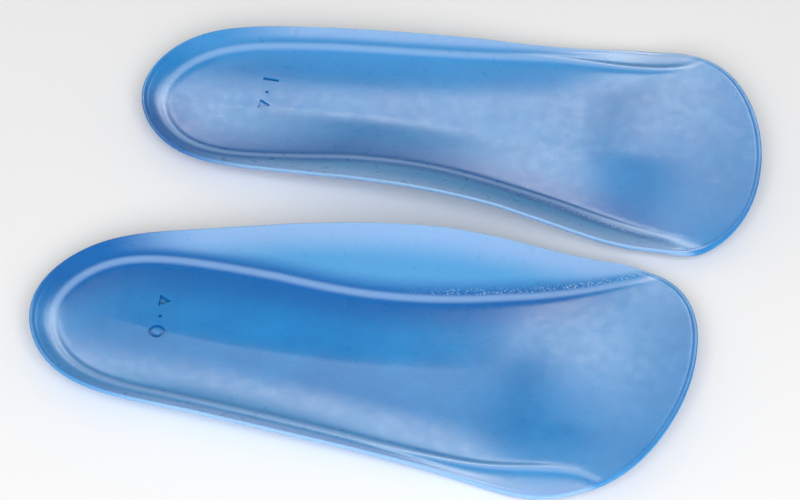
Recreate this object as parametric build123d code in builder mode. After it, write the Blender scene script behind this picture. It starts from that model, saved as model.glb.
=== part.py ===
"""A left and right pair of three-quarter-length gel insoles, in millimetres.

Each insole is drawn once, as a right one, in its own frame: +X from the heel end to the
toes, +Y to the medial (arch) side, Z up from the floor. The left one is its mirror image.
Heights are read from smooth curves along the length, so the bed, the flared rim and the
arch flange are one flowing surface over an outline cut from a flat sheet of gel.
"""

import math
import os

from build123d import *

# ---- layout of the pair ------------------------------------------------------------
CENTRE_SPACING = 93.0  # between the two long axes, at the heels
HEEL_STAGGER = 11.0  # the right heel sits this much further back
TOE_IN = 2.0  # degrees each insole is turned inward

# ---- plan view: distances along from the heel end, and out from the long axis -----------
LENGTH = 180.0
HEEL_AT, ARCH_AT, WAIST_AT = 40.0, 85.0, 92.0
HEEL_MEDIAL, HEEL_LATERAL = 32.0, 30.0
WAIST_MEDIAL, WAIST_LATERAL = 36.0, 37.0
BALL_MEDIAL, BALL_LATERAL = 38.0, 44.5
RIM_WIDTH = 6.0  # outline to ridge round the heel
WAIST_RIM_WIDTH = 5.5  # the same beside the waist, on the lateral side
HEEL_FLANGE_WIDTH = 9.0  # outline to ridge on the medial side of the heel
ARCH_FLANGE_WIDTH = 18.0  # the same at the arch, where the flange is widest

# ---- heights -----------------------------------------------------------------------
TOE_EDGE_THICKNESS = 1.8
RIM_THICKNESS = 1.5  # thickness of the flared rim at its outer edge
WALL_WIDTH_MEDIAL = 27.0  # how far the bed curls up before it meets the ridge
WALL_WIDTH_LATERAL = 16.0
UNDERCUT_SLOPE = 0.85  # rise of the underside from the flat base out to the rim
RIDGE_WIDTH = 2.2
RIDGE_PROUD = 0.6
BALL_AT = (143.0, -3.0)  # middle of the swell under the ball of the foot
BALL_SWELL = 2.4
BALL_REACH = (17.0, 24.0)  # how far the swell spreads along and across
TAPER_START, TAPER_RUN = 148.0, 16.0  # where the bed starts to thin towards the toe edge
TAPER_DEPTH = 10.0  # how far in from the toe edge it thins
SPRING_START = 128.0  # the toe end curls up off the floor from here
SPRING_RUN = 90.0  # the outline ends about half way up this curve
SPRING_RISE = 14.0
OBLIQUE = 0.2  # the toe edge runs back by this much for each millimetre it goes sideways
MESH_STEP = 2.0  # spacing of the points the smooth surfaces pass through
BLOCK_HEIGHT = 24.0  # taller than anything on the insole
OVERHANG = 4.0  # how far those surfaces run past the outline

# ---- inserts let into the underside, each following the bed at this depth below it ---
COVER = 1.5
HEEL_CUSHION_AT, HEEL_CUSHION_SIZE = (32.0, 1.5), (32.0, 25.0)
BALL_CUSHION_AT, BALL_CUSHION_SIZE = (142.0, -4.0), (26.0, 48.0)
BALL_CUSHION_TURN = 12.0  # degrees, so it lies square to the toe edge
ARCH_CORE_AT, ARCH_CORE_SIZE = (86.0, 2.0), (54.0, 20.0)

# ---- debossed mark in the heel -------------------------------------------------------
MARK_X = 34.5
MARK_Y_RIGHT, MARK_Y_LEFT = 5.0, -6.0
MARK_PITCH = 5.2
MARK_SIZE = 4.0
MARK_STROKE = 0.9
MARK_DEPTH = 0.5

# ---- curves along the length: (distance from the heel end, value) --------------------
BED_HEIGHT = [(0, 3.2), (WAIST_AT, 2.0)]
CREST_MEDIAL = [(10, 4.5), (65, 7.0), (120, 3.6), (150, 2.6)]
CREST_LATERAL = [(10, 4.5), (50, 5.5), (110, 4.0), (145, 2.6)]
FLARE_MEDIAL = [(0, 0.6), (60, 0.5), (110, 0.65), (160, 0.35)]  # rise per millimetre outward
FLARE_LATERAL = [(0, 0.6), (WAIST_AT, 0.5), (150, -0.2)]

OUTLINE = [
    (0.0, 4.0),
    (13.0, 25.0),
    (HEEL_AT, HEEL_MEDIAL),
    (WAIST_AT, WAIST_MEDIAL),
    (155.0, BALL_MEDIAL),
    (168.0, 35.0),
    (176.0, 26.0),
    (LENGTH, 6.0),
    (174.0, -22.0),
    (160.0, -40.0),
    (145.0, -BALL_LATERAL),
    (120.0, -41.0),
    (WAIST_AT, -WAIST_LATERAL),
    (HEEL_AT, -HEEL_LATERAL),
    (9.0, -19.0),
]

RIDGE_LINE = [
    (168.0, -50.0),  # clear of the outline, so that the ridge runs off the lateral edge
    (156.0, -38.5),
    (130.0, -36.0),
    (WAIST_AT, WAIST_RIM_WIDTH - WAIST_LATERAL),
    (HEEL_AT, RIM_WIDTH - HEEL_LATERAL),
    (13.0, -14.0),
    (RIM_WIDTH, 4.0),
    (16.0, 19.5),
    (HEEL_AT, HEEL_MEDIAL - HEEL_FLANGE_WIDTH),
    (ARCH_AT, WAIST_MEDIAL - ARCH_FLANGE_WIDTH),
    (130.0, 24.0),
    (180.0, 38.0),  # clear of the outline on the medial side
]


def smooth(t):
    """Ease from 0 to 1 as t goes from 0 to 1."""
    t = min(max(t, 0.0), 1.0)
    return t * t * (3.0 - 2.0 * t)


def along(curve, x):
    """Read a height curve at x, easing between its stations."""
    if x <= curve[0][0]:
        return curve[0][1]
    for (x0, v0), (x1, v1) in zip(curve, curve[1:]):
        if x <= x1:
            part = (x - x0) / (x1 - x0)
            return v0 + (v1 - v0) * (0.5 * part + 0.5 * smooth(part))
    return curve[-1][1]


def sampled(edge, count):
    """Evenly spread points along an edge, as plain (x, y) pairs."""
    return [(p.X, p.Y) for p in edge.positions([i / count for i in range(count + 1)])]


def signed_distance(points, x, y):
    """Distance from a line, positive on its left-hand side, which is the outside of the insole."""
    best, sign = 1e9, 1.0
    for (ax, ay), (bx, by) in zip(points, points[1:]):
        dx, dy = bx - ax, by - ay
        t = min(max(((x - ax) * dx + (y - ay) * dy) / (dx * dx + dy * dy), 0.0), 1.0)
        gap = math.hypot(x - ax - t * dx, y - ay - t * dy)
        if gap < best:
            best = gap
            sign = 1.0 if dx * (y - ay) - dy * (x - ax) > 0 else -1.0
    return sign * best


ridge_points = sampled(Edge.make_spline([Vector(x, y, 0) for x, y in RIDGE_LINE]), 160)
outline_points = sampled(Edge.make_spline([Vector(x, y, 0) for x, y in OUTLINE], periodic=True), 160)


def outside_ridge(x, y):
    """How far a point lies outside the ridge; negative on the bed."""
    return signed_distance(ridge_points, x, y)


def medial_share(y):
    """1 on the medial side, 0 on the lateral side, easing across the middle."""
    return 0.5 + 0.5 * math.tanh(y / 9.0)


def blend(medial, lateral, x, y):
    """Mix a medial and a lateral curve for a point."""
    share = medial_share(y)
    return share * along(medial, x) + (1.0 - share) * along(lateral, x)


def bed_height(x, y):
    """Middle of the bed, with the swell under the ball of the foot."""
    ahead = (x - BALL_AT[0]) / BALL_REACH[0]
    aside = (y - BALL_AT[1]) / BALL_REACH[1]
    return along(BED_HEIGHT, x) + BALL_SWELL * math.exp(-(ahead**2) - aside**2)


def toe_taper(x, y):
    """0 at the toe edge, rising to 1 over the rest of the insole."""
    inside = max(-signed_distance(outline_points, x, y), 0.0)
    near_toe = smooth((x - OBLIQUE * y - TAPER_START) / TAPER_RUN)
    return 1.0 - near_toe * math.exp(-((inside / TAPER_DEPTH) ** 1.5))


def toe_spring(x, y):
    """How far the toe end curls up off the floor."""
    return SPRING_RISE * smooth((x - OBLIQUE * y - SPRING_START) / SPRING_RUN)


def top_height(x, y):
    """Height of the foot side of the gel."""
    out = outside_ridge(x, y)
    bed = bed_height(x, y)
    crest = blend(CREST_MEDIAL, CREST_LATERAL, x, y)
    if out < 0.0:
        width = medial_share(y) * WALL_WIDTH_MEDIAL + (1.0 - medial_share(y)) * WALL_WIDTH_LATERAL
        height = bed + (crest - bed) * max(1.0 + out / width, 0.0) ** 2
    else:
        height = crest + blend(FLARE_MEDIAL, FLARE_LATERAL, x, y) * out
    height += RIDGE_PROUD * math.exp(-((out / RIDGE_WIDTH) ** 2))
    tapered = TOE_EDGE_THICKNESS + (height - TOE_EDGE_THICKNESS) * toe_taper(x, y)
    return tapered + toe_spring(x, y)


def surface(height):
    """A smooth face over the whole outline, through a grid of points at a given height rule."""
    columns = math.ceil((LENGTH + 2 * OVERHANG) / MESH_STEP)
    rows = math.ceil((2 * BALL_LATERAL + 2 * OVERHANG) / MESH_STEP)
    grid = []
    for i in range(columns + 1):
        x = -OVERHANG + i * (LENGTH + 2 * OVERHANG) / columns
        line = []
        for j in range(rows + 1):
            y = (BALL_LATERAL + OVERHANG) * (2.0 * j / rows - 1.0)
            line.append((x, y, height(x, y)))
        grid.append(line)
    return Face.make_surface_from_array_of_points(grid, tol=0.05)


def solid_below(face):
    """Everything from a surface down to well under the floor."""
    return Solid.extrude(face, Vector(0, 0, -40.0))


def outline_blank():
    """The plan outline as an upright block."""
    with BuildPart() as blank:
        with BuildSketch():
            with BuildLine():
                Spline(*OUTLINE, periodic=True)
            make_face()
        extrude(amount=BLOCK_HEIGHT)
    return blank.part


def outward(index):
    """Unit direction straight out of the outline at one of its points."""
    (ax, ay), (bx, by) = OUTLINE[index - 1], OUTLINE[(index + 1) % len(OUTLINE)]
    span = math.hypot(bx - ax, by - ay)
    return (ay - by) / span, (bx - ax) / span


def undercut_block():
    """The room inside the sloping underside: it leans out from the flat base to the rim."""
    base_line, top_line = [], []
    for index, (x, y) in enumerate(OUTLINE):
        out_x, out_y = outward(index)
        rim_under = max(top_height(x, y) - RIM_THICKNESS, 0.3)
        inset = rim_under / UNDERCUT_SLOPE
        reach = (BLOCK_HEIGHT - rim_under) / UNDERCUT_SLOPE
        base_line.append((x - inset * out_x, y - inset * out_y))
        top_line.append((x + reach * out_x, y + reach * out_y))
    with BuildPart() as block:
        for line, level in ((base_line, 0.0), (top_line, BLOCK_HEIGHT)):
            with BuildSketch(Plane.XY.offset(level)):
                with BuildLine():
                    Spline(*line, periodic=True)
                make_face()
        loft(ruled=True)
    return block.part


def space_under_toes():
    """The wedge of space under the curled toe end, square to the oblique toe edge."""
    turn = math.degrees(math.atan(OBLIQUE))
    stretch = math.cos(math.radians(turn))
    curl = []
    for step in range(9):
        x = SPRING_START + SPRING_RUN * step / 12
        curl.append((x * stretch, toe_spring(x, 0.0)))
    with BuildPart() as wedge:
        with BuildSketch(Plane.XZ):
            with BuildLine():
                Spline(*curl)
                end_x, start_x = curl[-1][0], curl[0][0]
                Polyline(curl[-1], (end_x, -BLOCK_HEIGHT), (start_x, -BLOCK_HEIGHT), curl[0])
            make_face()
        extrude(amount=80.0, both=True)
    return Rot(0, 0, -turn) * wedge.part


def insert(at, size, turn):
    """An oval block whose top follows the bed at a constant cover and whose base is flush."""
    with BuildPart() as block:
        with BuildSketch(Pos(*at) * Rot(0, 0, turn) * Plane.XY):
            Ellipse(size[0] / 2, size[1] / 2)
        extrude(amount=20.0)
        add(bed_solid.moved(Location((0, 0, -COVER))), mode=Mode.INTERSECT)
        add(toe_space, mode=Mode.SUBTRACT)
    return block.part


def mark(last_sign, y):
    """Three small signs across the heel: a triangle, a dot, and one that tells left from right."""
    floor = bed_height(MARK_X, y) - MARK_DEPTH
    with BuildPart() as signs:
        with BuildSketch(Plane.XY.offset(floor)):
            with Locations((MARK_X, y + MARK_PITCH)):
                RegularPolygon(MARK_SIZE / 2, 3)
            with Locations((MARK_X, y)):
                Circle(MARK_STROKE / 2)
            with Locations((MARK_X, y - MARK_PITCH)):
                if last_sign == "ring":
                    Circle(MARK_SIZE / 2)
                    Circle(MARK_SIZE / 2 - MARK_STROKE, mode=Mode.SUBTRACT)
                else:
                    Rectangle(MARK_SIZE, MARK_STROKE)
        extrude(amount=4.0)
    return signs.part


bed_solid = solid_below(surface(top_height))
toe_space = space_under_toes()

inserts = {
    "heel_cushion": insert(HEEL_CUSHION_AT, HEEL_CUSHION_SIZE, 0.0),
    "metatarsal_cushion": insert(BALL_CUSHION_AT, BALL_CUSHION_SIZE, BALL_CUSHION_TURN),
    "arch_core": insert(ARCH_CORE_AT, ARCH_CORE_SIZE, 0.0),
}

# ---- the gel moulding, with its pockets ----------------------------------------------
with BuildPart() as moulding:
    add(outline_blank())
    add(bed_solid, mode=Mode.INTERSECT)
    add(undercut_block(), mode=Mode.INTERSECT)
    add(toe_space, mode=Mode.SUBTRACT)
    for pocket in inserts.values():
        add(pocket, mode=Mode.SUBTRACT)


def gel_body(last_sign, mark_y):
    """The moulding with its own mark pressed into the heel, as a right insole."""
    with BuildPart() as gel:
        add(moulding.part)
        add(mark(last_sign, mark_y), mode=Mode.SUBTRACT)
    return gel.part


# ---- the left insole mirrors the right; both turn inward and lie side by side ---------
right_place = Pos(-HEEL_STAGGER / 2, -CENTRE_SPACING / 2) * Rot(0, 0, TOE_IN)
left_place = Pos(HEEL_STAGGER / 2, CENTRE_SPACING / 2) * Rot(0, 0, -TOE_IN)
pieces = {}
for name, shape in dict(inserts, gel_body=gel_body("ring", MARK_Y_RIGHT)).items():
    pieces["right_" + name] = right_place * shape
for name, shape in dict(inserts, gel_body=gel_body("bar", MARK_Y_LEFT)).items():
    pieces["left_" + name] = left_place * mirror(shape, about=Plane.XZ)

right_box = pieces["right_gel_body"].bounding_box()
left_box = pieces["left_gel_body"].bounding_box()
middle_x = (right_box.min.X + left_box.max.X) / 2
middle_y = (right_box.min.Y + left_box.max.Y) / 2

os.makedirs("parts", exist_ok=True)
for name, shape in pieces.items():
    piece = Pos(-middle_x, -middle_y) * shape
    piece.label = name
    export_step(piece, f"parts/{name}.step")
    print(name, round(piece.volume, 1), piece.is_valid, piece.bounding_box())
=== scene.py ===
"""Looks of a left and right pair of translucent gel insoles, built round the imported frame.

Each insole is meshed once as a right one, in millimetres: x runs from the heel end to the
toes, y to the medial (arch) side and z up. The left one is its mirror image. Both are then
turned and moved so that they lie exactly where the CAD bodies lie.
"""

import math

import bmesh
import bpy
import numpy as np
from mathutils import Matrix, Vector


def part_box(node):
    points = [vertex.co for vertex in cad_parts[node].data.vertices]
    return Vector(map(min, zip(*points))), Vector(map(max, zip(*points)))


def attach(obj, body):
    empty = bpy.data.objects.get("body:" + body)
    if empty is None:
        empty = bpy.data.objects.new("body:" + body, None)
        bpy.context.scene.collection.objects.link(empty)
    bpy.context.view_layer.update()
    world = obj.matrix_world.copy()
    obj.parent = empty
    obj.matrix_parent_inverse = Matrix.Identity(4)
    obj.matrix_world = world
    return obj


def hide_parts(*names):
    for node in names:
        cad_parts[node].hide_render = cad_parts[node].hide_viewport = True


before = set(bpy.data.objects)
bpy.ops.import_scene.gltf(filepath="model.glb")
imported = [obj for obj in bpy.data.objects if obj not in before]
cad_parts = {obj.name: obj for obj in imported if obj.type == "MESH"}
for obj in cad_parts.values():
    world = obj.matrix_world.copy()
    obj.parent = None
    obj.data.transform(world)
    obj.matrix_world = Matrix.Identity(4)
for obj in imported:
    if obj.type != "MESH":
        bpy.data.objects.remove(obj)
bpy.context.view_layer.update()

MM = 0.001
TOE_IN = 2.0  # degrees each insole is turned inward

# ---- heights, in mm ----------------------------------------------------------------
TOE_EDGE_THICKNESS = 1.8
RIM_THICKNESS = 1.5
WALL_WIDTH_MEDIAL = 38.0  # 27 in the CAD model, which lowers its bed by less than 1 mm
WALL_WIDTH_LATERAL = 16.0
UNDERCUT_SLOPE = 0.85
RIDGE_PROUD = 0.55
RIDGE_WIDTH = 1.5  # finer than the CAD model's
RIDGE_FADE_START, RIDGE_FADE_RUN = 138.0, 22.0
RIDGE_FADE = 0.6  # share of the ridge that is gone at the front
SIDE_EASE = 9.0  # how gently the medial curves pass into the lateral ones
EDGE_RADIUS = 0.62
LIP_INSET = 1.5  # a fine moulded line runs round the rim this far inside its edge
LIP_DEPTH = 0.05
LIP_WIDTH = 0.28
BALL_AT = (143.0, -3.0)
BALL_SWELL = 2.4
BALL_REACH = (17.0, 34.0)  # along and across; 24 across in the CAD model
TAPER_START, TAPER_RUN = 148.0, 16.0
TAPER_DEPTH = 10.0
SPRING_START = 128.0
SPRING_RUN = 90.0
SPRING_RISE = 14.0
OBLIQUE = 0.2

# ---- inserts: centre, full size, turn ------------------------------------------------
COVER = 1.5
POCKET_GAP = 0.22
PAD_GAP = 0.12  # between a pad and the roof of its pocket
PAD_ROUNDING = 0.35
PAD_CROWN = 0.12
PAD_RECESS = 0.14
INSERTS = {
    "heel_cushion": ((32.0, 1.5), (32.0, 25.0), 0.0),
    "metatarsal_cushion": ((142.0, -4.0), (26.0, 48.0), 12.0),
    "arch_core": ((86.0, 2.0), (54.0, 20.0), 0.0),
}

# ---- debossed mark -----------------------------------------------------------------
MARK_X = 34.5
MARK_Y_RIGHT, MARK_Y_LEFT = 5.0, -6.0
MARK_PITCH = 5.2
MARK_SIZE = 4.6
MARK_STROKE = 1.0
MARK_DEPTH = 0.45

# ---- plan view, as in the CAD model --------------------------------------------------
LENGTH = 180.0
HEEL_AT, ARCH_AT, WAIST_AT = 40.0, 85.0, 92.0
HEEL_MEDIAL, HEEL_LATERAL = 32.0, 30.0
WAIST_MEDIAL, WAIST_LATERAL = 36.0, 37.0
BALL_MEDIAL, BALL_LATERAL = 38.0, 44.5
RIM_WIDTH = 6.0
WAIST_RIM_WIDTH = 5.5
HEEL_FLANGE_WIDTH = 9.0
ARCH_FLANGE_WIDTH = 18.0

# ---- curves along the length: (distance from the heel end, value) --------------------
BED_HEIGHT = [(0, 3.2), (WAIST_AT, 2.0)]
CREST_MEDIAL = [(10, 4.5), (65, 7.0), (120, 3.6), (150, 2.6)]
CREST_LATERAL = [(10, 4.5), (50, 5.5), (110, 4.0), (145, 2.6)]
FLARE_MEDIAL = [(0, 0.6), (60, 0.5), (110, 0.65), (160, 0.35)]
FLARE_LATERAL = [(0, 0.6), (WAIST_AT, 0.5), (150, -0.2)]

OUTLINE = [
    (0.0, 4.0),
    (13.0, 25.0),
    (HEEL_AT, HEEL_MEDIAL),
    (WAIST_AT, WAIST_MEDIAL),
    (155.0, BALL_MEDIAL),
    (168.0, 35.0),
    (176.0, 26.0),
    (LENGTH, 6.0),
    (174.0, -22.0),
    (160.0, -40.0),
    (145.0, -BALL_LATERAL),
    (120.0, -41.0),
    (WAIST_AT, -WAIST_LATERAL),
    (HEEL_AT, -HEEL_LATERAL),
    (9.0, -19.0),
]
TOE_INDEX = 7  # the outline point at the front of the toe edge

RIDGE_LINE = [
    (168.0, -50.0),
    (156.0, -38.5),
    (130.0, -36.0),
    (WAIST_AT, WAIST_RIM_WIDTH - WAIST_LATERAL),
    (HEEL_AT, RIM_WIDTH - HEEL_LATERAL),
    (13.0, -14.0),
    (RIM_WIDTH, 4.0),
    (16.0, 19.5),
    (HEEL_AT, HEEL_MEDIAL - HEEL_FLANGE_WIDTH),
    (ARCH_AT, WAIST_MEDIAL - ARCH_FLANGE_WIDTH),
    (130.0, 24.0),
    (180.0, 38.0),
]
SPINE = ((31.0, 1.5), (148.0, -3.0))  # the rings of the mesh close on this line

POINTS_PER_SIDE = 480
TOP_RINGS = 92
UNDER_RINGS = 48
EDGE_STEPS = (0.0, 0.05, 0.12, 0.22, 0.35, 0.5, 0.7, 0.95, 1.15, 1.3, 1.4, 1.5, 1.6, 1.7, 1.85, 2.1)


# ======================================================================================
# curves and distances
# ======================================================================================
def smooth(t):
    """Ease from 0 to 1 as t goes from 0 to 1."""
    t = np.clip(t, 0.0, 1.0)
    return t * t * (3.0 - 2.0 * t)


def along(curve, x):
    """Read a height curve at x, easing between its stations."""
    stations = np.array([station for station, _ in curve], float)
    values = np.array([value for _, value in curve], float)
    index = np.clip(np.searchsorted(stations, x) - 1, 0, len(stations) - 2)
    part = np.clip((x - stations[index]) / (stations[index + 1] - stations[index]), 0.0, 1.0)
    return values[index] + (values[index + 1] - values[index]) * (0.5 * part + 0.5 * smooth(part))


def spline_slopes(knots, points, closed):
    """Slopes of the smooth cubic through the points, at each of them."""
    count = len(points)
    gaps = np.diff(knots)
    system = np.zeros((count, count))
    right = np.zeros_like(points)
    for i in range(1, count - 1):
        system[i, i - 1 : i + 2] = (gaps[i], 2.0 * (gaps[i - 1] + gaps[i]), gaps[i - 1])
        before = gaps[i] * (points[i] - points[i - 1]) / gaps[i - 1]
        after = gaps[i - 1] * (points[i + 1] - points[i]) / gaps[i]
        right[i] = 3.0 * (before + after)
    if closed:
        system[0, 0], system[0, -1] = 1.0, -1.0
        system[-1, 0], system[-1, 1] = 2.0 / gaps[0], 1.0 / gaps[0]
        system[-1, -1], system[-1, -2] = 2.0 / gaps[-1], 1.0 / gaps[-1]
        first = (points[1] - points[0]) / gaps[0] ** 2
        last = (points[-1] - points[-2]) / gaps[-1] ** 2
        right[-1] = 3.0 * (first + last)
    else:
        system[0, 0:2] = (2.0, 1.0)
        system[-1, -2:] = (1.0, 2.0)
        right[0] = 3.0 * (points[1] - points[0]) / gaps[0]
        right[-1] = 3.0 * (points[-1] - points[-2]) / gaps[-1]
    return np.linalg.solve(system, right)


def spline(control, closed=False, dense=4000):
    """Closely spaced points on the smooth curve through the control points, and their knots."""
    points = np.array(control, float)
    if closed:
        points = np.vstack([points, points[:1]])
    knots = np.concatenate([[0.0], np.cumsum(np.hypot(*np.diff(points, axis=0).T))])
    slopes = spline_slopes(knots, points, closed)
    at = np.linspace(0.0, knots[-1], dense + 1)
    i = np.clip(np.searchsorted(knots, at, side="right") - 1, 0, len(knots) - 2)
    gap = (knots[i + 1] - knots[i])[:, None]
    t = (at - knots[i])[:, None] / gap
    curve = points[i] * (1 + 2 * t) * (1 - t) ** 2 + points[i + 1] * t * t * (3 - 2 * t)
    curve += gap * (slopes[i] * t * (1 - t) ** 2 + slopes[i + 1] * t * t * (t - 1))
    return curve, at, knots


def evenly(curve, count):
    """The curve resampled to count equal steps."""
    walked = np.concatenate([[0.0], np.cumsum(np.hypot(*np.diff(curve, axis=0).T))])
    marks = np.linspace(0.0, walked[-1], count + 1)
    return np.stack([np.interp(marks, walked, curve[:, k]) for k in (0, 1)], axis=-1)


def signed_distance(line, x, y):
    """Distance from a line, positive on its left-hand side."""
    flat_x, flat_y = np.ravel(x), np.ravel(y)
    starts, ends = line[:-1], line[1:]
    run = ends - starts
    square = (run**2).sum(axis=1)
    result = np.empty(flat_x.shape)
    for first in range(0, len(flat_x), 20000):
        rows = slice(first, first + 20000)
        gap_x = flat_x[rows, None] - starts[:, 0]
        gap_y = flat_y[rows, None] - starts[:, 1]
        t = np.clip((gap_x * run[:, 0] + gap_y * run[:, 1]) / square, 0.0, 1.0)
        away = np.hypot(gap_x - t * run[:, 0], gap_y - t * run[:, 1])
        near = away.argmin(axis=1)
        pick = np.arange(len(near))
        side = run[near, 0] * gap_y[pick, near] - run[near, 1] * gap_x[pick, near]
        result[rows] = np.where(side > 0, 1.0, -1.0) * away[pick, near]
    return result.reshape(np.shape(x))


outline_curve, outline_at, outline_knots = spline(OUTLINE, closed=True)
ridge_line = evenly(spline(RIDGE_LINE)[0], 260)
outline_line = evenly(outline_curve, 300)


# ======================================================================================
# the height rules of the moulding, as in the CAD model but for the widths noted at the top
# ======================================================================================
def medial_share(y):
    """1 on the medial side, 0 on the lateral side, easing across the middle."""
    return 0.5 + 0.5 * np.tanh(y / SIDE_EASE)


def blend(medial, lateral, x, y):
    """Mix a medial and a lateral curve."""
    share = medial_share(y)
    return share * along(medial, x) + (1.0 - share) * along(lateral, x)


def bed_height(x, y):
    """Middle of the bed, with the swell under the ball of the foot."""
    ahead = (x - BALL_AT[0]) / BALL_REACH[0]
    aside = (y - BALL_AT[1]) / BALL_REACH[1]
    return along(BED_HEIGHT, x) + BALL_SWELL * np.exp(-(ahead**2) - aside**2)


def toe_spring(x, y):
    """How far the toe end curls up off the floor."""
    return SPRING_RISE * smooth((x - OBLIQUE * y - SPRING_START) / SPRING_RUN)


def top_height(x, y, ridge=True):
    """Height of the foot side of the gel."""
    out = signed_distance(ridge_line, x, y)
    inside = np.clip(-signed_distance(outline_line, x, y), 0.0, None)
    bed = bed_height(x, y)
    crest = blend(CREST_MEDIAL, CREST_LATERAL, x, y)
    width = medial_share(y) * WALL_WIDTH_MEDIAL + (1.0 - medial_share(y)) * WALL_WIDTH_LATERAL
    wall = bed + (crest - bed) * np.clip(1.0 + out / width, 0.0, None) ** 2
    flare = crest + blend(FLARE_MEDIAL, FLARE_LATERAL, x, y) * out
    height = np.where(out < 0.0, wall, flare)
    if ridge:
        fade = 1.0 - RIDGE_FADE * smooth((x - RIDGE_FADE_START) / RIDGE_FADE_RUN)
        height = height + RIDGE_PROUD * fade * np.exp(-((out / RIDGE_WIDTH) ** 2))
    near_toe = smooth((x - OBLIQUE * y - TAPER_START) / TAPER_RUN)
    taper = 1.0 - near_toe * np.exp(-((inside / TAPER_DEPTH) ** 1.5))
    return TOE_EDGE_THICKNESS + (height - TOE_EDGE_THICKNESS) * taper + toe_spring(x, y)


# ======================================================================================
# ring meshes: closed forms made of rings that shrink from an edge onto a short line
# ======================================================================================
def ring_points(edge, spine, steps, rings):
    """x and y of every ring, and how far each point lies inside the edge."""
    count = len(edge)
    start, end = (np.array(point, float) for point in spine)
    run = end - start
    part = np.clip(((edge - start) @ run) / (run @ run), 0.0, 1.0)
    mirrored = part[(-np.arange(count)) % count]
    target = start + (0.5 * (part + mirrored))[:, None] * run
    reach = np.hypot(*(target - edge).T)
    last = steps[-1]
    rows = [np.minimum(step / reach, 1.0) for step in steps]
    rows += [(last + (reach - last) * k / rings) / reach for k in range(1, rings + 1)]
    share = np.array(rows)
    x = edge[:, 0] + (target[:, 0] - edge[:, 0]) * share
    y = edge[:, 1] + (target[:, 1] - edge[:, 1]) * share
    return x, y, share * reach


def shell_faces(count, top_rows, under_rows):
    """Quads of the top rings, the edge wall and the underside rings."""
    faces = []
    base = top_rows * count
    for row in range(top_rows - 1):
        for i in range(count):
            j = (i + 1) % count
            faces.append((row * count + j, row * count + i, (row + 1) * count + i, (row + 1) * count + j))
    for i in range(count):
        j = (i + 1) % count
        faces.append((i, j, base + j, base + i))
    for row in range(under_rows - 1):
        for i in range(count):
            j = (i + 1) % count
            low = base + row * count
            faces.append((low + i, low + j, low + count + j, low + count + i))
    return faces


def rounding(inside, radius):
    """How far a rounded edge falls away, that far inside the edge."""
    back = np.clip(radius - inside, 0.0, None)
    return radius - np.sqrt(np.clip(radius**2 - back**2, 0.0, None))


def make_mesh(name, vertices, faces, attributes):
    """A mesh object in millimetres, with point attributes."""
    mesh = bpy.data.meshes.new(name)
    mesh.from_pydata(vertices.tolist(), [], faces)
    for label, values in attributes.items():
        layer = mesh.attributes.new(label, "FLOAT", "POINT")
        layer.data.foreach_set("value", np.asarray(values, np.float32))
    obj = bpy.data.objects.new(name, mesh)
    bpy.context.scene.collection.objects.link(obj)
    return obj


def weld(obj):
    """Join the points that lie on each other and drop the faces that closed up."""
    shape = bmesh.new()
    shape.from_mesh(obj.data)
    bmesh.ops.remove_doubles(shape, verts=shape.verts, dist=1e-4)
    bmesh.ops.dissolve_degenerate(shape, edges=shape.edges, dist=1e-5)
    bmesh.ops.recalc_face_normals(shape, faces=shape.faces)
    shape.to_mesh(obj.data)
    shape.free()


def under_rule(edge):
    """A height rule for the underside: flat base, curled toe end and sloping rim."""
    rim = np.clip(top_height(edge[:, 0], edge[:, 1], ridge=False) - RIM_THICKNESS, 0.0, None)

    def height(x, y, inside):
        flat = toe_spring(x, y)
        slope = rim - UNDERCUT_SLOPE * inside
        gap = slope - flat
        return flat + 0.5 * (gap + np.sqrt(gap * gap + 0.16)) - 0.2 * np.exp(-np.abs(gap) * 3.0)

    return height


def gel_shape(name):
    """The gel moulding of a right insole, before its pockets and marks."""
    medial = evenly(outline_curve[outline_at <= outline_knots[TOE_INDEX]], POINTS_PER_SIDE)
    lateral = evenly(outline_curve[outline_at >= outline_knots[TOE_INDEX]], POINTS_PER_SIDE)
    edge = np.vstack([medial[:-1], lateral[:-1]])
    count = len(edge)
    x, y, inside = ring_points(edge, SPINE, EDGE_STEPS, TOP_RINGS)
    lip = LIP_DEPTH * np.exp(-(((inside - LIP_INSET) / LIP_WIDTH) ** 2))
    top = top_height(x, y) - rounding(inside, EDGE_RADIUS) - lip
    ux, uy, under_inside = ring_points(edge, SPINE, EDGE_STEPS, UNDER_RINGS)
    under = under_rule(edge)(ux, uy, under_inside)
    under = np.clip(under, 0.0, None) + rounding(under_inside, EDGE_RADIUS)
    vertices = np.concatenate(
        [np.stack([x, y, top], -1).reshape(-1, 3), np.stack([ux, uy, under], -1).reshape(-1, 3)]
    )
    faces = shell_faces(count, len(x), len(ux))
    all_x, all_y = vertices[:, 0], vertices[:, 1]
    outside = signed_distance(ridge_line, all_x, all_y)
    inner = np.clip(-signed_distance(outline_line, all_x, all_y), 0.0, None)
    attributes = {
        "outside": outside,
        "inside": inner,
        "along": all_x,
        "across": all_y,
        "height": vertices[:, 2],
        "foot_side": np.concatenate([np.ones(x.size), np.zeros(ux.size)]),
    }
    obj = make_mesh(name, vertices, faces, attributes)
    weld(obj)
    return obj


def oval(size, at, turn, grow, count=160):
    """Points round an ellipse, clockwise, starting at its heel end."""
    angle = np.radians(180.0 - np.arange(count) * 360.0 / count)
    local_x = (size[0] / 2 + grow) * np.cos(angle)
    local_y = (size[1] / 2 + grow) * np.sin(angle)
    tilt = math.radians(turn)
    x = at[0] + local_x * math.cos(tilt) - local_y * math.sin(tilt)
    y = at[1] + local_x * math.sin(tilt) + local_y * math.cos(tilt)
    return np.stack([x, y], axis=-1)


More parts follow.
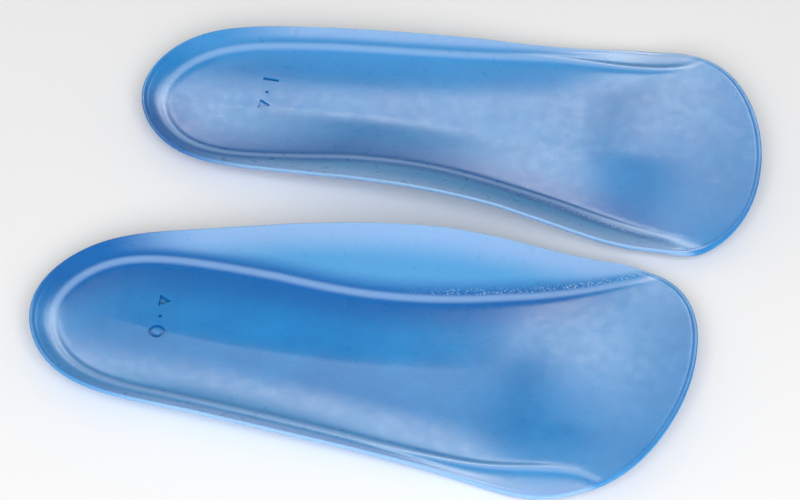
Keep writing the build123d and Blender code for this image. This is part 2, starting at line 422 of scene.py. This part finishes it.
def oval_spine(size, at, turn):
    """A short line inside an ellipse, from its heel end to its toe end."""
    half = max((size[0] - size[1]) / 2.0, 1.0)
    tilt = math.radians(turn)
    step = np.array([half * math.cos(tilt), half * math.sin(tilt)])
    centre = np.array(at)
    return centre - step, centre + step


def insert_shape(name, at, size, turn, grow=0.0, cutter=False):
    """A cushion or core: flush with the underside, its top following the bed at COVER below it."""
    edge = oval(size, at, turn, grow)
    x, y, inside = ring_points(edge, oval_spine(size, at, turn), (0.0, 0.08, 0.2, 0.4, 0.7), 16)
    top = top_height(x, y, ridge=False) - COVER - (0.0 if cutter else PAD_GAP)
    under = toe_spring(x, y)
    if cutter:
        under = under - 2.0
    else:
        crown = PAD_CROWN * smooth(inside / 2.0)
        under = under + rounding(inside, PAD_ROUNDING) - crown + PAD_RECESS
        top = top - rounding(inside, PAD_ROUNDING)
    top = np.maximum(top, under + 0.1)
    vertices = np.concatenate(
        [np.stack([x, y, top], -1).reshape(-1, 3), np.stack([x, y, under], -1).reshape(-1, 3)]
    )
    faces = shell_faces(len(edge), len(x), len(x))
    obj = make_mesh(name, vertices, faces, {})
    weld(obj)
    return obj


# ======================================================================================
# the debossed mark
# ======================================================================================
def polygon_prism(corners, low, high):
    """Vertices and faces of an upright prism on a list of corners, anticlockwise."""
    count = len(corners)
    vertices = [(x, y, low) for x, y in corners] + [(x, y, high) for x, y in corners]
    faces = [tuple(reversed(range(count))), tuple(range(count, 2 * count))]
    faces += [(i, (i + 1) % count, count + (i + 1) % count, count + i) for i in range(count)]
    return vertices, faces


def ring_prism(centre, outer, inner, low, high, count=40):
    """Vertices and faces of an upright ring."""
    vertices = []
    for radius in (outer, inner):
        for level in (low, high):
            for k in range(count):
                angle = 2 * math.pi * k / count
                spot = (centre[0] + radius * math.cos(angle), centre[1] + radius * math.sin(angle))
                vertices.append((*spot, level))
    faces = []
    for k in range(count):
        n = (k + 1) % count
        faces.append((k, n, count + n, count + k))
        faces.append((2 * count + n, 2 * count + k, 3 * count + k, 3 * count + n))
        faces.append((n, k, 2 * count + k, 2 * count + n))
        faces.append((count + k, count + n, 3 * count + n, 3 * count + k))
    return vertices, faces


def circle(centre, radius, count=32):
    """Corners round a circle."""
    turns = [2 * math.pi * k / count for k in range(count)]
    return [(centre[0] + radius * math.cos(t), centre[1] + radius * math.sin(t)) for t in turns]


def mark_cutters(last_sign, middle):
    """A triangle, a dot, and a ring or a bar that tells right from left, as cutting prisms."""
    low = float(bed_height(MARK_X, middle)) - MARK_DEPTH
    high = low + 4.0
    upper = (MARK_X, middle + MARK_PITCH)
    lower = (MARK_X, middle - MARK_PITCH)
    half = MARK_SIZE / 2
    corners = [circle(upper, half, 3), circle((MARK_X, middle), MARK_STROKE / 2)]
    if last_sign == "bar":
        stroke = MARK_STROKE / 2
        spots = ((-half, -stroke), (half, -stroke), (half, stroke), (-half, stroke))
        corners.append([(lower[0] + x, lower[1] + y) for x, y in spots])
    prisms = [polygon_prism(shape, low, high) for shape in corners]
    if last_sign == "ring":
        prisms.append(ring_prism(lower, half, half - MARK_STROKE, low, high))
    cutters = []
    for number, (vertices, faces) in enumerate(prisms):
        cutters.append(make_mesh(f"sign_{number}", np.array(vertices), faces, {}))
    return cutters


def cut(obj, cutters):
    """Cut the cutters out of an object, then remove them."""
    for cutter in cutters:
        modifier = obj.modifiers.new("cut", "BOOLEAN")
        modifier.operation = "DIFFERENCE"
        modifier.solver = "EXACT"
        modifier.object = cutter
    graph = bpy.context.evaluated_depsgraph_get()
    result = bpy.data.meshes.new_from_object(obj.evaluated_get(graph))
    obj.modifiers.clear()
    obj.data = result
    for cutter in cutters:
        bpy.data.objects.remove(cutter)


# ======================================================================================
# placing
# ======================================================================================
def place(obj, side, shift):
    """Mirror for a left insole, turn, move into the shared frame and go from mm to metres."""
    mesh = obj.data
    spots = np.empty(len(mesh.vertices) * 3)
    mesh.vertices.foreach_get("co", spots)
    spots = spots.reshape(-1, 3)
    turn = math.radians(TOE_IN)
    if side == "left":
        spots[:, 1] *= -1.0
        turn = -turn
    x = spots[:, 0] * math.cos(turn) - spots[:, 1] * math.sin(turn)
    y = spots[:, 0] * math.sin(turn) + spots[:, 1] * math.cos(turn)
    placed = np.stack([x + shift[0], y + shift[1], spots[:, 2]], axis=-1) * MM
    mesh.vertices.foreach_set("co", placed.ravel())
    if side == "left":
        mesh.flip_normals()
    mesh.shade_smooth()
    mesh.set_sharp_from_angle(angle=math.radians(38))
    mesh.update()


def shift_for(side, edge):
    """Where the local origin goes, so that the outline fills the CAD body's box."""
    turn = math.radians(TOE_IN)
    sign = 1.0
    if side == "left":
        turn, sign = -turn, -1.0
    x = edge[:, 0] * math.cos(turn) - sign * edge[:, 1] * math.sin(turn)
    y = edge[:, 0] * math.sin(turn) + sign * edge[:, 1] * math.cos(turn)
    low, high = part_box(side + "_gel_body")
    centre_x = 0.5 * (low[0] + high[0]) / MM
    centre_y = 0.5 * (low[1] + high[1]) / MM
    return centre_x - 0.5 * (x.min() + x.max()), centre_y - 0.5 * (y.min() + y.max())


# ======================================================================================
# materials
# ======================================================================================
class Nodes:
    """Short calls for building one node material."""

    def __init__(self, name):
        self.material = bpy.data.materials.new(name)
        self.material.use_nodes = True
        self.tree = self.material.node_tree
        self.shader = self.tree.nodes["Principled BSDF"]
        self.place = self.add("ShaderNodeTexCoord").outputs["Object"]

    def add(self, kind, **settings):
        node = self.tree.nodes.new(kind)
        for key, value in settings.items():
            setattr(node, key, value)
        return node

    def put(self, value, socket):
        """Link an output to a socket, or set the socket's own value."""
        if isinstance(value, bpy.types.NodeSocket):
            self.tree.links.new(value, socket)
        else:
            socket.default_value = value

    def maths(self, operation, a, b=0.0, c=0.0):
        node = self.add("ShaderNodeMath", operation=operation)
        for value, socket in zip((a, b, c), node.inputs):
            self.put(value, socket)
        return node.outputs[0]

    def attribute(self, name):
        return self.add("ShaderNodeAttribute", attribute_name=name).outputs["Fac"]

    def ramp(self, value, start, end, low=0.0, high=1.0):
        """Ease value from start..end to low..high."""
        node = self.add("ShaderNodeMapRange", interpolation_type="SMOOTHSTEP")
        for part, socket in zip((value, start, end, low, high), node.inputs):
            self.put(part, socket)
        return node.outputs[0]

    def noise(self, scale, detail=3.0, stretch=None):
        node = self.add("ShaderNodeTexNoise")
        place = self.place
        if stretch:
            mapping = self.add("ShaderNodeMapping")
            self.put(place, mapping.inputs["Vector"])
            mapping.inputs["Scale"].default_value = stretch
            place = mapping.outputs["Vector"]
        self.put(place, node.inputs["Vector"])
        node.inputs["Scale"].default_value = scale
        node.inputs["Detail"].default_value = detail
        return node.outputs["Fac"]

    def cells(self, scale):
        """Distance to the nearest scattered point, and a random value for it."""
        node = self.add("ShaderNodeTexVoronoi")
        self.put(self.place, node.inputs["Vector"])
        node.inputs["Scale"].default_value = scale
        pick = self.add("ShaderNodeSeparateColor")
        self.put(node.outputs["Color"], pick.inputs["Color"])
        return node.outputs["Distance"], pick.outputs["Red"]

    def mix(self, share, a, b):
        node = self.add("ShaderNodeMix", data_type="RGBA")
        self.put(share, node.inputs["Factor"])
        self.put(a, node.inputs[6])
        self.put(b, node.inputs[7])
        return node.outputs[2]

    def bump(self, height, strength, distance, normal=None):
        node = self.add("ShaderNodeBump")
        node.inputs["Strength"].default_value = strength
        node.inputs["Distance"].default_value = distance
        self.put(height, node.inputs["Height"])
        if normal is not None:
            self.put(normal, node.inputs["Normal"])
        return node.outputs["Normal"]


GEL_WALL_DEPTH_AND_SHADE = (0.006, 0.130, 0.42, 1.0)
GEL_DEEP = (0.010, 0.200, 0.52, 1.0)
GEL_MIDDLE = (0.018, 0.255, 0.60, 1.0)
GEL_CREST_HIGHLIGHT = (0.33, 0.52, 0.80, 1.0)
GEL_RIM_REFLECTION = (0.33, 0.50, 0.78, 1.0)
GEL_BACKLIT_CYAN = (0.11, 0.38, 0.68, 1.0)
GEL_LATERAL_LIGHT = (0.075, 0.32, 0.66, 1.0)
SPECK = (0.010, 0.040, 0.120, 1.0)
GLINT_HIGHLIGHT = (0.80, 0.93, 1.0, 1.0)


def gel_material():
    """Satin blue gel in a cloudy tone, with painted light: shade and thicker gel on the medial inner wall,
    light on the lateral wall, a backlit glow on the thin flange, a pale reflection on the rim, a highlight
    on the crest and glints by the ridge.
    """
    n = Nodes("gel_satin")
    outside, inside = n.attribute("outside"), n.attribute("inside")
    clouds = n.noise(22.0, 3.0)
    mottle = n.noise(160.0, 4.0)
    depth = n.maths("ADD", n.maths("MULTIPLY", clouds, 0.7), n.maths("MULTIPLY", mottle, 0.3))
    colour = n.mix(n.ramp(depth, 0.32, 0.68), GEL_DEEP, GEL_MIDDLE)
    along_foot = n.attribute("along")
    # Darker colour on the medial inner wall: partly the deeper colour of the thicker gel there, partly
    # painted shade.
    wall = n.maths("MULTIPLY", n.ramp(outside, -16.0, -1.5), n.ramp(along_foot, 168.0, 140.0))
    wall = n.maths("MULTIPLY", wall, n.ramp(n.attribute("across"), -4.0, 14.0))
    colour = n.mix(n.maths("MULTIPLY", wall, 0.9), colour, GEL_WALL_DEPTH_AND_SHADE)
    # Painted light: the lateral inner wall is made lighter in colour.
    lateral_side = n.ramp(n.attribute("across"), -8.0, -20.0)
    lit_lateral_wall = n.maths("MULTIPLY", n.ramp(outside, -14.0, -2.0), lateral_side)
    colour = n.mix(n.maths("MULTIPLY", lit_lateral_wall, 0.7), colour, GEL_LATERAL_LIGHT)
    sides = n.ramp(along_foot, 14.0, 46.0)
    # Painted glow: the thin flange is made paler cyan, as if lit through from behind.
    flange_glow = n.maths("MULTIPLY", n.ramp(outside, 0.6, 6.0), sides)
    colour = n.mix(n.maths("MULTIPLY", flange_glow, 0.85), colour, GEL_BACKLIT_CYAN)
    # Painted reflection: a pale band along the outer rim, also standing for light seen through the thin
    # edge.
    rim = n.maths("MULTIPLY", n.ramp(outside, 1.5, 4.0), n.ramp(inside, 10.0, 1.5))
    rim = n.maths("MULTIPLY", rim, sides)
    colour = n.mix(n.maths("MULTIPLY", rim, 0.75), colour, GEL_RIM_REFLECTION)
    # Painted highlight: a bright line along the crest of the ridge.
    crest = n.maths("MULTIPLY", n.ramp(n.maths("ABSOLUTE", outside), 1.6, 0.2), n.ramp(inside, 0.5, 2.0))
    foot_side = n.attribute("foot_side")
    crest = n.maths("MULTIPLY", crest, foot_side)
    colour = n.mix(n.maths("MULTIPLY", crest, 0.6), colour, GEL_CREST_HIGHLIGHT)
    distance, choice = n.cells(80.0)
    speck = n.maths("MULTIPLY", n.ramp(distance, 0.030, 0.012), n.ramp(choice, 0.94, 0.96))
    colour = n.mix(n.maths("MULTIPLY", speck, 0.5), colour, SPECK)
    # Painted glints: white sparkles beside the ridge towards the front, also raised a little by the bump
    # below.
    near_ridge = n.maths("MULTIPLY", n.ramp(outside, 0.9, 1.4), n.ramp(outside, 3.2, 1.8))
    front = n.maths("MULTIPLY", n.ramp(along_foot, 95.0, 120.0), n.ramp(n.attribute("across"), 0.0, 8.0))
    grain, lit = n.cells(2300.0)
    painted_glint = n.maths("MULTIPLY", n.ramp(lit, 0.55, 0.90), n.ramp(grain, 0.7, 0.3))
    painted_glint = n.maths("MULTIPLY", painted_glint, n.maths("MULTIPLY", near_ridge, front))
    painted_glint = n.maths("MULTIPLY", painted_glint, n.maths("MULTIPLY", foot_side, 0.4))
    colour = n.mix(painted_glint, colour, GLINT_HIGHLIGHT)
    n.put(colour, n.shader.inputs["Base Color"])
    rough = n.ramp(n.noise(300.0, 5.0), 0.3, 0.7, 0.27, 0.33)
    n.put(rough, n.shader.inputs["Roughness"])
    n.shader.inputs["IOR"].default_value = 1.43
    n.shader.inputs["Subsurface Weight"].default_value = 0.6
    n.shader.inputs["Subsurface Radius"].default_value = (0.35, 0.75, 1.0)
    n.shader.inputs["Subsurface Scale"].default_value = 0.002
    fine = n.bump(n.noise(2600.0, 3.0), 0.10, 0.0002)
    ripple = n.bump(n.noise(240.0, 3.0), 0.04, 0.0006, fine)
    scratch = n.bump(n.noise(500.0, 2.0, (0.08, 1.0, 1.0)), 0.015, 0.0003, ripple)
    glitter = n.bump(painted_glint, 0.5, 0.0004, scratch)
    n.put(glitter, n.shader.inputs["Normal"])
    return n.material


def insert_material(name, dark, light, rough_low, rough_high, grain):
    """Plainer gel of a cushion or core, with faint clouds and a fine cast grain."""
    n = Nodes(name)
    depth = n.maths("ADD", n.maths("MULTIPLY", n.noise(40.0), 0.6), n.maths("MULTIPLY", n.noise(220.0), 0.4))
    n.put(n.mix(n.ramp(depth, 0.35, 0.65), dark, light), n.shader.inputs["Base Color"])
    n.put(n.ramp(n.noise(420.0, 4.0), 0.3, 0.7, rough_low, rough_high), n.shader.inputs["Roughness"])
    n.shader.inputs["IOR"].default_value = 1.43
    n.shader.inputs["Subsurface Weight"].default_value = 0.8
    n.shader.inputs["Subsurface Radius"].default_value = (0.35, 0.75, 1.0)
    n.shader.inputs["Subsurface Scale"].default_value = 0.003
    coarse = n.bump(n.noise(grain, 2.0), 0.25, 0.0004)
    n.put(n.bump(n.noise(grain * 6.0, 2.0), 0.12, 0.0001, coarse), n.shader.inputs["Normal"])
    return n.material


def floor_material():
    """Matt white studio floor with a barely uneven tone."""
    n = Nodes("studio_floor")
    tone = n.mix(n.ramp(n.noise(3.0), 0.3, 0.7), (0.90, 0.90, 0.90, 1.0), (0.93, 0.93, 0.93, 1.0))
    n.put(tone, n.shader.inputs["Base Color"])
    n.shader.inputs["Roughness"].default_value = 0.9
    n.shader.inputs["Specular IOR Level"].default_value = 0.1
    n.put(n.bump(n.noise(900.0), 0.05, 0.0002), n.shader.inputs["Normal"])
    return n.material


# ======================================================================================
# the pair
# ======================================================================================
gel_skin = gel_material()
SOFT_DARK, SOFT_LIGHT = (0.07, 0.30, 0.62, 1), (0.16, 0.42, 0.72, 1)
FIRM_DARK, FIRM_LIGHT = (0.012, 0.07, 0.26, 1), (0.025, 0.12, 0.36, 1)
soft_skin = insert_material("soft_gel_satin", SOFT_DARK, SOFT_LIGHT, 0.34, 0.46, 500.0)
firm_skin = insert_material("firm_gel_matt", FIRM_DARK, FIRM_LIGHT, 0.45, 0.58, 320.0)
SKINS = {"heel_cushion": soft_skin, "metatarsal_cushion": soft_skin, "arch_core": firm_skin}


def finish_piece(obj, side, node, skin, shift):
    """Place a piece, give it its skin and tie it to the CAD node that it stands for."""
    place(obj, side, shift)
    obj.data.materials.clear()
    obj.data.materials.append(skin)
    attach(obj, side + "_insole")
    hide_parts(f"{side}_{node}")


def copy_of(obj, name):
    """A second object with its own copy of the mesh."""
    copy = bpy.data.objects.new(name, obj.data.copy())
    bpy.context.scene.collection.objects.link(copy)
    return copy


def build_insole(side, moulding, pads, last_sign, mark_y):
    """One insole: the gel moulding with its mark cut in, and its three inserts."""
    shift = shift_for(side, outline_curve)
    gel = copy_of(moulding, side + "_gel")
    cut(gel, mark_cutters(last_sign, mark_y))
    finish_piece(gel, side, "gel_body", gel_skin, shift)
    for name, pad in pads.items():
        piece = copy_of(pad, f"{side}_{name}_pad")
        finish_piece(piece, side, name, SKINS[name], shift)


def build_pair():
    """Shape the moulding and the inserts once, and use them for both insoles."""
    moulding = gel_shape("moulding")
    cutters = [insert_shape(name, *spec, POCKET_GAP, cutter=True) for name, spec in INSERTS.items()]
    cut(moulding, cutters)
    pads = {name: insert_shape(name, *spec) for name, spec in INSERTS.items()}
    build_insole("right", moulding, pads, "ring", MARK_Y_RIGHT)
    build_insole("left", moulding, pads, "bar", MARK_Y_LEFT)
    for spare in (moulding, *pads.values()):
        bpy.data.objects.remove(spare)


build_pair()


# ======================================================================================
# floor, camera and light
# ======================================================================================
CAMERA_AZIMUTH = 9.5
CAMERA_ELEVATION = 46.7
CAMERA_DISTANCE = 0.837
CAMERA_LENS = 135.0
AIM = Vector((-0.0012, -0.0022, 0.0))


def direction(azimuth, elevation):
    """Unit vector from the object towards a viewer at that azimuth and elevation."""
    a, e = math.radians(azimuth), math.radians(elevation)
    return Vector((math.sin(a) * math.cos(e), -math.cos(a) * math.cos(e), math.sin(e)))


def aim_at(obj, target):
    """Turn a camera or light to face a point."""
    obj.rotation_euler = (target - obj.location).to_track_quat("-Z", "Y").to_euler()


def soft_light(name, azimuth, elevation, distance, size, power, gloss):
    """A rectangular softbox facing the insoles, for the gloss or for the even light."""
    light = bpy.data.lights.new(name, "AREA")
    light.shape = "RECTANGLE"
    light.size, light.size_y = size
    light.energy = power
    lamp = bpy.data.objects.new(name, light)
    bpy.context.scene.collection.objects.link(lamp)
    lamp.location = AIM + direction(azimuth, elevation) * distance
    lamp.visible_glossy = gloss
    lamp.visible_diffuse = not gloss
    lamp.visible_transmission = not gloss
    aim_at(lamp, AIM)


def studio():
    """A pale floor, an even surround and soft light from behind, above and the front."""
    bpy.ops.mesh.primitive_plane_add(size=8.0, location=(0.0, 0.0, 0.0))
    floor = bpy.context.object
    floor.name = "studio_floor"
    floor.data.materials.append(floor_material())
    world = bpy.data.worlds.new("surround")
    bpy.context.scene.world = world
    world.use_nodes = True
    surround = world.node_tree.nodes["Background"]
    surround.inputs["Color"].default_value = (1.0, 1.0, 1.0, 1.0)
    surround.inputs["Strength"].default_value = 0.38
    soft_light("back_softbox", 177.0, 39.0, 1.3, (0.8, 0.42), 9.6, True)
    soft_light("front_softbox", 12.0, 41.0, 1.4, (1.3, 1.0), 21.5, False)


def camera():
    """The camera at the angle the pair is shown from."""
    data = bpy.data.cameras.new("camera")
    data.lens = CAMERA_LENS
    data.sensor_width = 36.0
    obj = bpy.data.objects.new("camera", data)
    bpy.context.scene.collection.objects.link(obj)
    obj.location = AIM + direction(CAMERA_AZIMUTH, CAMERA_ELEVATION) * CAMERA_DISTANCE
    aim_at(obj, AIM)
    bpy.context.scene.camera = obj


studio()
camera()
bpy.context.scene.view_settings.view_transform = "Standard"
